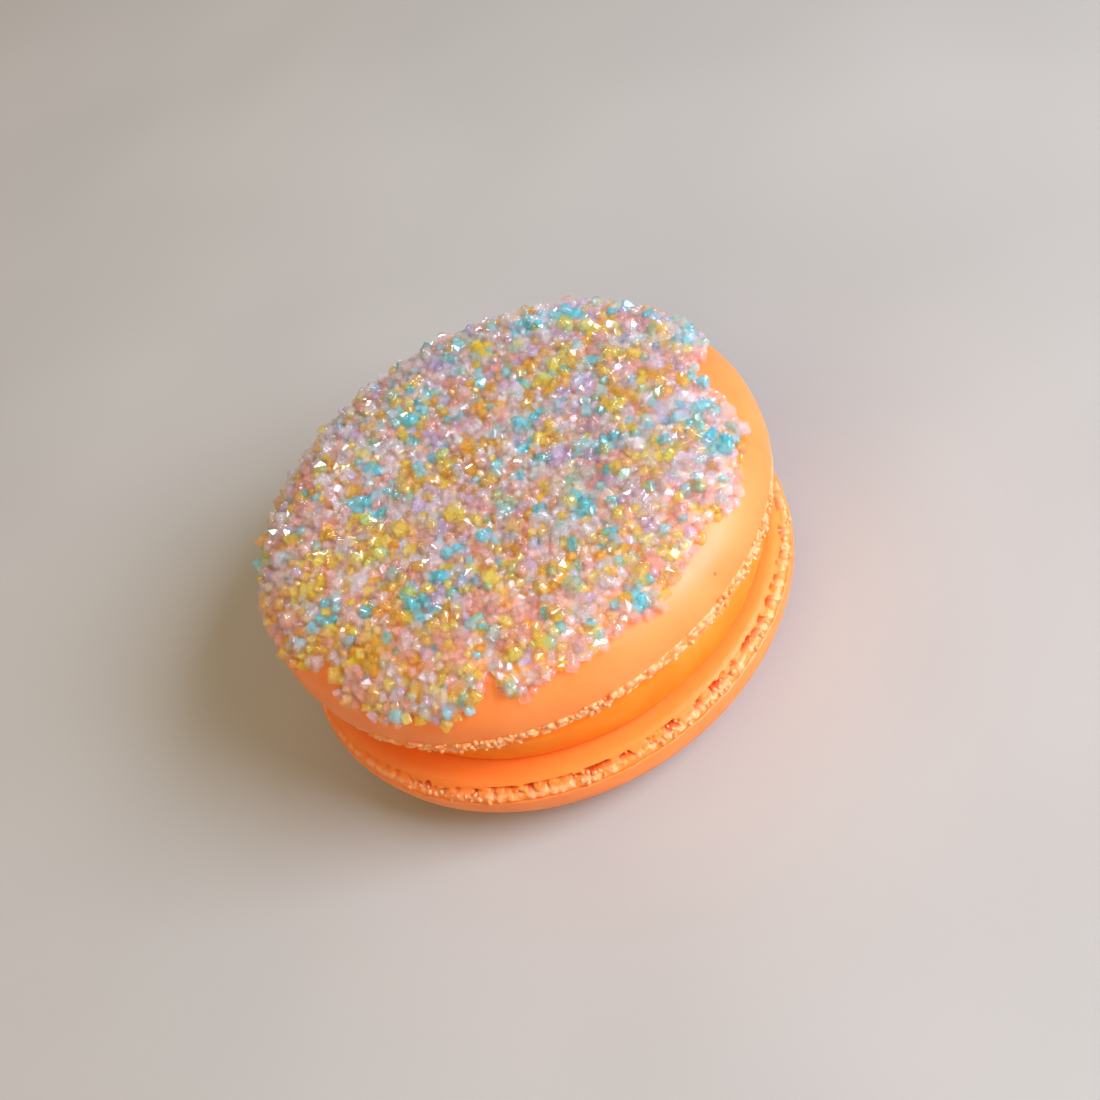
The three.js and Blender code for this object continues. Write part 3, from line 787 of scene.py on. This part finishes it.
def rim_share(azimuth):
    """How much wider than round the upper shell is at an azimuth, as a share of its radius."""
    stream = upper_rim["Rim stream"]
    wave = sum(share * np.sin(turns * azimuth + shift * stream) for share, turns, shift in RIM_WAVES)
    away = 2 * (1 - np.cos(azimuth - UPPER_FLAT["Flat azimuth"]))
    dent = UPPER_FLAT["Flat depth"] / MM * np.exp(-away / UPPER_FLAT["Flat width"] ** 2)
    return (RIM_WAVE * wave - dent) / UPPER["radius"]


def on_crown(reach, azimuth, lift):
    """A place on the upper shell: reach along its crown from the middle, and lift above its skin."""
    radius, ahead_radius = np.interp([reach, reach + SLOPE_STEP], crown_length, crown[:, 0])
    height, ahead_height = np.interp([reach, reach + SLOPE_STEP], crown_length, crown[:, 1])
    slope = np.arctan2(ahead_height - height, ahead_radius - radius)
    radius = radius * (1 + rim_share(azimuth)) - lift * np.sin(slope)
    place = (radius * np.cos(azimuth), radius * np.sin(azimuth), height + lift * np.cos(slope))
    return on_filling @ (Vector(place) * MM)


def sugar_reach(azimuth):
    """How far the sugar reaches down the crown, in millimetres along it."""
    reach = SUGAR_REACH + SUGAR_EDGE_WAVE["height"] * math.sin(SUGAR_EDGE_WAVE["count"] * azimuth)
    for middle, width, depth in SUGAR_BAYS:
        away = (math.degrees(azimuth) - middle + 180) % 360 - 180
        reach -= depth * math.exp(-((away / width) ** 2))
    return reach


def crown_ring(share, further, lift):
    """A ring of points on the crown, at a share of the sugar's reach and that much further."""
    turns = [step / BED_SEGMENTS * 2 * math.pi for step in range(BED_SEGMENTS)]
    return [on_crown(share * sugar_reach(azimuth) + further, azimuth, lift) for azimuth in turns]


def bed_rings(lift, inset):
    """Rings of points from near the middle out to the sugar's edge, or to that much short of it."""
    rings = []
    for row in range(BED_ROWS + 1):
        share = (row + 1) / (BED_ROWS + 1)
        ring = []
        for step in range(BED_SEGMENTS):
            azimuth = step / BED_SEGMENTS * 2 * math.pi
            reach = share * (sugar_reach(azimuth) - inset)
            spot = on_crown(reach, azimuth, 0.0)
            cell = noise.voronoi(spot / (BED_GRAIN["size"] * MM))[0][0]
            bump = BED_GRAIN["height"] * (1 - min(1.0, cell * BED_GRAIN["steepness"])) if lift else 0.0
            ring.append(on_crown(reach, azimuth, lift + bump))
        rings.append(ring)
    return rings


def candied_bed():
    """Grains sunk in the glaze: a mottle of pale tints over the shell's orange, softly glossy."""
    material, tree, shader = empty_material("sugar sunk in glaze")
    place = add_node(tree, "ShaderNodeTexCoord").outputs["Object"]
    cells = add_node(tree, "ShaderNodeTexVoronoi", {"Vector": place, "Scale": 1 / (SUNK_GRAIN_SIZE * MM)})
    pick = add_node(tree, "ShaderNodeSeparateColor", {0: cells.outputs["Color"]}).outputs[0]
    stops, reached = [], 0.0
    for tint in TINTS.values():
        stops.append((reached, tint["deep"]))
        reached += tint["share"]
    tone = colour_ramp(tree, pick, stops, smooth=False)
    away = measured(tree, "DISTANCE", place, PALE_MIDDLE["place"])
    rim = ranged(tree, away, PALE_MIDDLE["full"] * MM, PALE_MIDDLE["end"] * MM)
    pooled = colour_ramp(tree, grain(tree, POOL_SIZE * MM), POOL_STOPS)
    glaze = mixed(tree, rim, pooled, GLAZE_COLOUR, "RGBA")
    tone = mixed(tree, 1 - SUNK_GRAIN_SHARE, tone, glaze, "RGBA")
    give(tree, shader, {"Base Color": tone, "Roughness": 0.3,
                        "Specular IOR Level": 0.25, "Subsurface Weight": 0.5,
                        "Subsurface Radius": (1.0, 0.8, 0.7), "Subsurface Scale": 1.0 * MM})
    return material


def tinted_sugar(name, tint):
    """Clear crystal, tinted through: each grain is a little deeper or paler, and some are duller."""
    material, tree, shader = empty_material(name + " sugar")
    depth = kept_number(tree, "depth")
    give(tree, shader, {"Base Color": colour_ramp(tree, depth, [(0.1, tint["deep"]), (0.9, tint["pale"])]),
                        "Roughness": ranged(tree, depth, 0.0, 1.0, 0.05, 0.2), "Transmission Weight": 0.5,
                        "Alpha": tint["alpha"], "IOR": 1.3, "Coat Weight": 1.0, "Coat Roughness": 0.02,
                        "Coat IOR": 1.7})
    return material


def chipped_block(tree, bevel, chip, seed):
    """A unit block with its edges and corners cut off unevenly: the hull of crossed slabs, twice."""
    slabs = tree.nodes.new("GeometryNodeJoinGeometry")
    short = maths(tree, "SUBTRACT", 1.0, bevel)
    for axis in range(3):
        sides = {part: short for part in range(3) if part != axis}
        size = add_node(tree, "ShaderNodeCombineXYZ", {**sides, axis: 1.0}).outputs[0]
        slab = add_node(tree, "GeometryNodeMeshCube", {"Size": size}).outputs[0]
        tree.links.new(slab, slabs.inputs[0])
    block = add_node(tree, "GeometryNodeConvexHull", {0: slabs.outputs[0]}).outputs[0]
    moved = scaled(tree, random_vector(tree, seed, (-1.0,) * 3, (1.0,) * 3), chip)
    uneven = add_node(tree, "GeometryNodeSetPosition", {"Geometry": block, "Offset": moved}).outputs[0]
    return add_node(tree, "GeometryNodeConvexHull", {0: uneven}).outputs[0]


def leaning_choice(tree, given, choice, place):
    """The tint's number, drawn again among the warm tints on one side and the cool ones on the other. This is
    partly the sugar's own uneven mix and partly painted light: warm tints lean to the shaded front left, the
    whiter cool ones to the right where the window light falls.
    """
    east, north = (maths(tree, turned_by, given["Warm shaded side"]) for turned_by in ("COSINE", "SINE"))
    along = measured(tree, "DOT_PRODUCT", place, triple(tree, east, north))
    side = maths(tree, "DIVIDE", along, UPPER["radius"] * MM)
    other_side = maths(tree, "MULTIPLY", side, -1.0)
    dice = random_number(tree, 38)
    warm_width = maths(tree, "SUBTRACT", given["Warm to"], given["Warm from"])
    warmer = maths(tree, "MULTIPLY_ADD", choice, warm_width, given["Warm from"])
    cool_width = maths(tree, "SUBTRACT", 1.0, given["Warm to"])
    cooler = maths(tree, "MULTIPLY_ADD", choice, cool_width, given["Warm to"])
    to_warm = maths(tree, "LESS_THAN", dice, maths(tree, "MULTIPLY", side, given["Warm lean"]))
    to_cool = maths(tree, "LESS_THAN", dice, maths(tree, "MULTIPLY", other_side, given["Cool lean"]))
    return mixed(tree, to_cool, mixed(tree, to_warm, choice, warmer), cooler)


def crystal_tree():
    """Scatters crystals of one tint in three layers: sunk, lying on top, and a few large ones."""
    sizes = {"Spacing": ("Float", 0.8 * MM), "Size least": ("Float", 0.7 * MM),
             "Size most": ("Float", 1.1 * MM), "Large spacing": ("Float", 2.6 * MM),
             "Large size": ("Float", 1.35 * MM), "Layer lift": ("Float", 0.35 * MM),
             "Edge cut": ("Float", 0.22), "Chip": ("Float", 0.08), "Share from": ("Float", 0.0),
             "Share to": ("Float", 1.0), "Cluster size": ("Float", 2.5 * MM), "Clustered": ("Float", 0.5),
             "Seed": ("Int", 4), "Warm from": ("Float", 0.31), "Warm to": ("Float", 0.78),
             # Warm tints lean to the shaded front left and cool ones away from it, partly as painted light.
             "Warm shaded side": ("Float", math.radians(-140)), "Warm lean": ("Float", 0.36),
             "Cool lean": ("Float", 0.3), "Material": ("Material", None)}
    tree, given = new_tree("scattered crystals", sizes)
    layers = tree.nodes.new("GeometryNodeJoinGeometry")
    top_spacing = maths(tree, "MULTIPLY", given["Spacing"], TOP_LAYER_SPACING)
    spacings = (given["Spacing"], top_spacing, given["Large spacing"])
    for layer, (spacing, lift) in enumerate(zip(spacings, LAYER_LIFTS)):
        seed = maths(tree, "ADD", given["Seed"], layer)
        high = maths(tree, "MULTIPLY", given["Layer lift"], lift)
        points = spread_points(tree, given["Geometry"], spacing, seed, high, CRYSTAL_STRAY * MM)
        large = float(layer == len(spacings) - 1)
        tree.links.new(stored(tree, points, "large", large), layers.inputs[0])

    place = add_node(tree, "GeometryNodeInputPosition").outputs[0]
    patches = {"Vector": place, "Scale": maths(tree, "DIVIDE", 1.0, given["Cluster size"])}
    patch = add_node(tree, "ShaderNodeTexVoronoi", patches).outputs["Color"]
    patch_pick = add_node(tree, "ShaderNodeSeparateXYZ", {0: patch}).outputs[0]
    in_patch = maths(tree, "LESS_THAN", random_number(tree, 32), given["Clustered"])
    choice = mixed(tree, in_patch, random_number(tree, 31), patch_pick)
    choice = leaning_choice(tree, given, choice, place)
    past_end = maths(tree, "GREATER_THAN", choice, given["Share to"])
    chosen = maths(tree, "MULTIPLY", maths(tree, "GREATER_THAN", choice, given["Share from"]),
                   maths(tree, "SUBTRACT", 1.0, past_end))

    turn = random_vector(tree, 33, (0.0,) * 3, (2 * math.pi,) * 3)
    stretch = random_vector(tree, 34, *BLOCK_SIDES)
    is_large = named_number(tree, "large")
    size = random_number(tree, 35, given["Size least"], given["Size most"])
    scale = scaled(tree, stretch, mixed(tree, is_large, size, given["Large size"]))
    shapes = tree.nodes.new("GeometryNodeJoinGeometry")
    for seed in range(BLOCK_SHAPES):
        block = chipped_block(tree, given["Edge cut"], given["Chip"], seed)
        worn = {"Geometry": block, "Shade Smooth": seed in WORN_SHAPES}
        block = add_node(tree, "GeometryNodeSetShadeSmooth", worn).outputs[0]
        shape = add_node(tree, "GeometryNodeGeometryToInstance", {0: block}).outputs[0]
        tree.links.new(shape, shapes.inputs[0])
    draw = {4: 0, 5: BLOCK_SHAPES - 1, "Seed": 37}
    which = add_node(tree, "FunctionNodeRandomValue", draw, data_type="INT").outputs[2]
    placed = {"Points": layers.outputs[0], "Selection": chosen, "Instance": shapes.outputs[0],
              "Pick Instance": True, "Instance Index": which, "Rotation": turn, "Scale": scale}
    crystals = add_node(tree, "GeometryNodeInstanceOnPoints", placed).outputs[0]
    crystals = stored(tree, crystals, "depth", random_number(tree, 36), domain="INSTANCE")
    end_tree(tree, crystals, given["Material"])
    return tree


def patch_faces(rows, segments):
    """Four-cornered faces between rings of points, wound so that they face up."""
    faces = []
    for row in range(rows - 1):
        for step in range(segments):
            here, there = row * segments + step, row * segments + (step + 1) % segments
            faces.append((here, here + segments, there + segments, there))
    return faces


top_rings = bed_rings(BED_LIFT, BED_INSET)
edge_ring = crown_ring(1.0, BED_EDGE["further"] - BED_INSET, BED_EDGE["lift"])
inner_ring = crown_ring(BED_UNDERSIDE["share"], 0.0, BED_UNDERSIDE["lift"])
sugar_bed = ring_body("sugar_bed", [*top_rings, edge_ring, inner_ring], BED_SEGMENTS, candied_bed())
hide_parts("upper_shell")
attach(sugar_bed, "root")

crown_patch = bed_rings(0.0, 0.0)
patch_points = [point for ring in crown_patch for point in ring]
crown_faces = patch_faces(len(crown_patch), BED_SEGMENTS)
crystal_shape = crystal_tree()
share_from = 0.0
for name, tint in TINTS.items():
    sizes = {"Share from": share_from, "Share to": share_from + tint["share"]}
    look = tinted_sugar(name, tint)
    crystals = shaped("sugar_" + name, patch_points, [], crown_faces, crystal_shape, sizes, look)
    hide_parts("upper_shell")
    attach(crystals, "root")
    share_from += tint["share"]
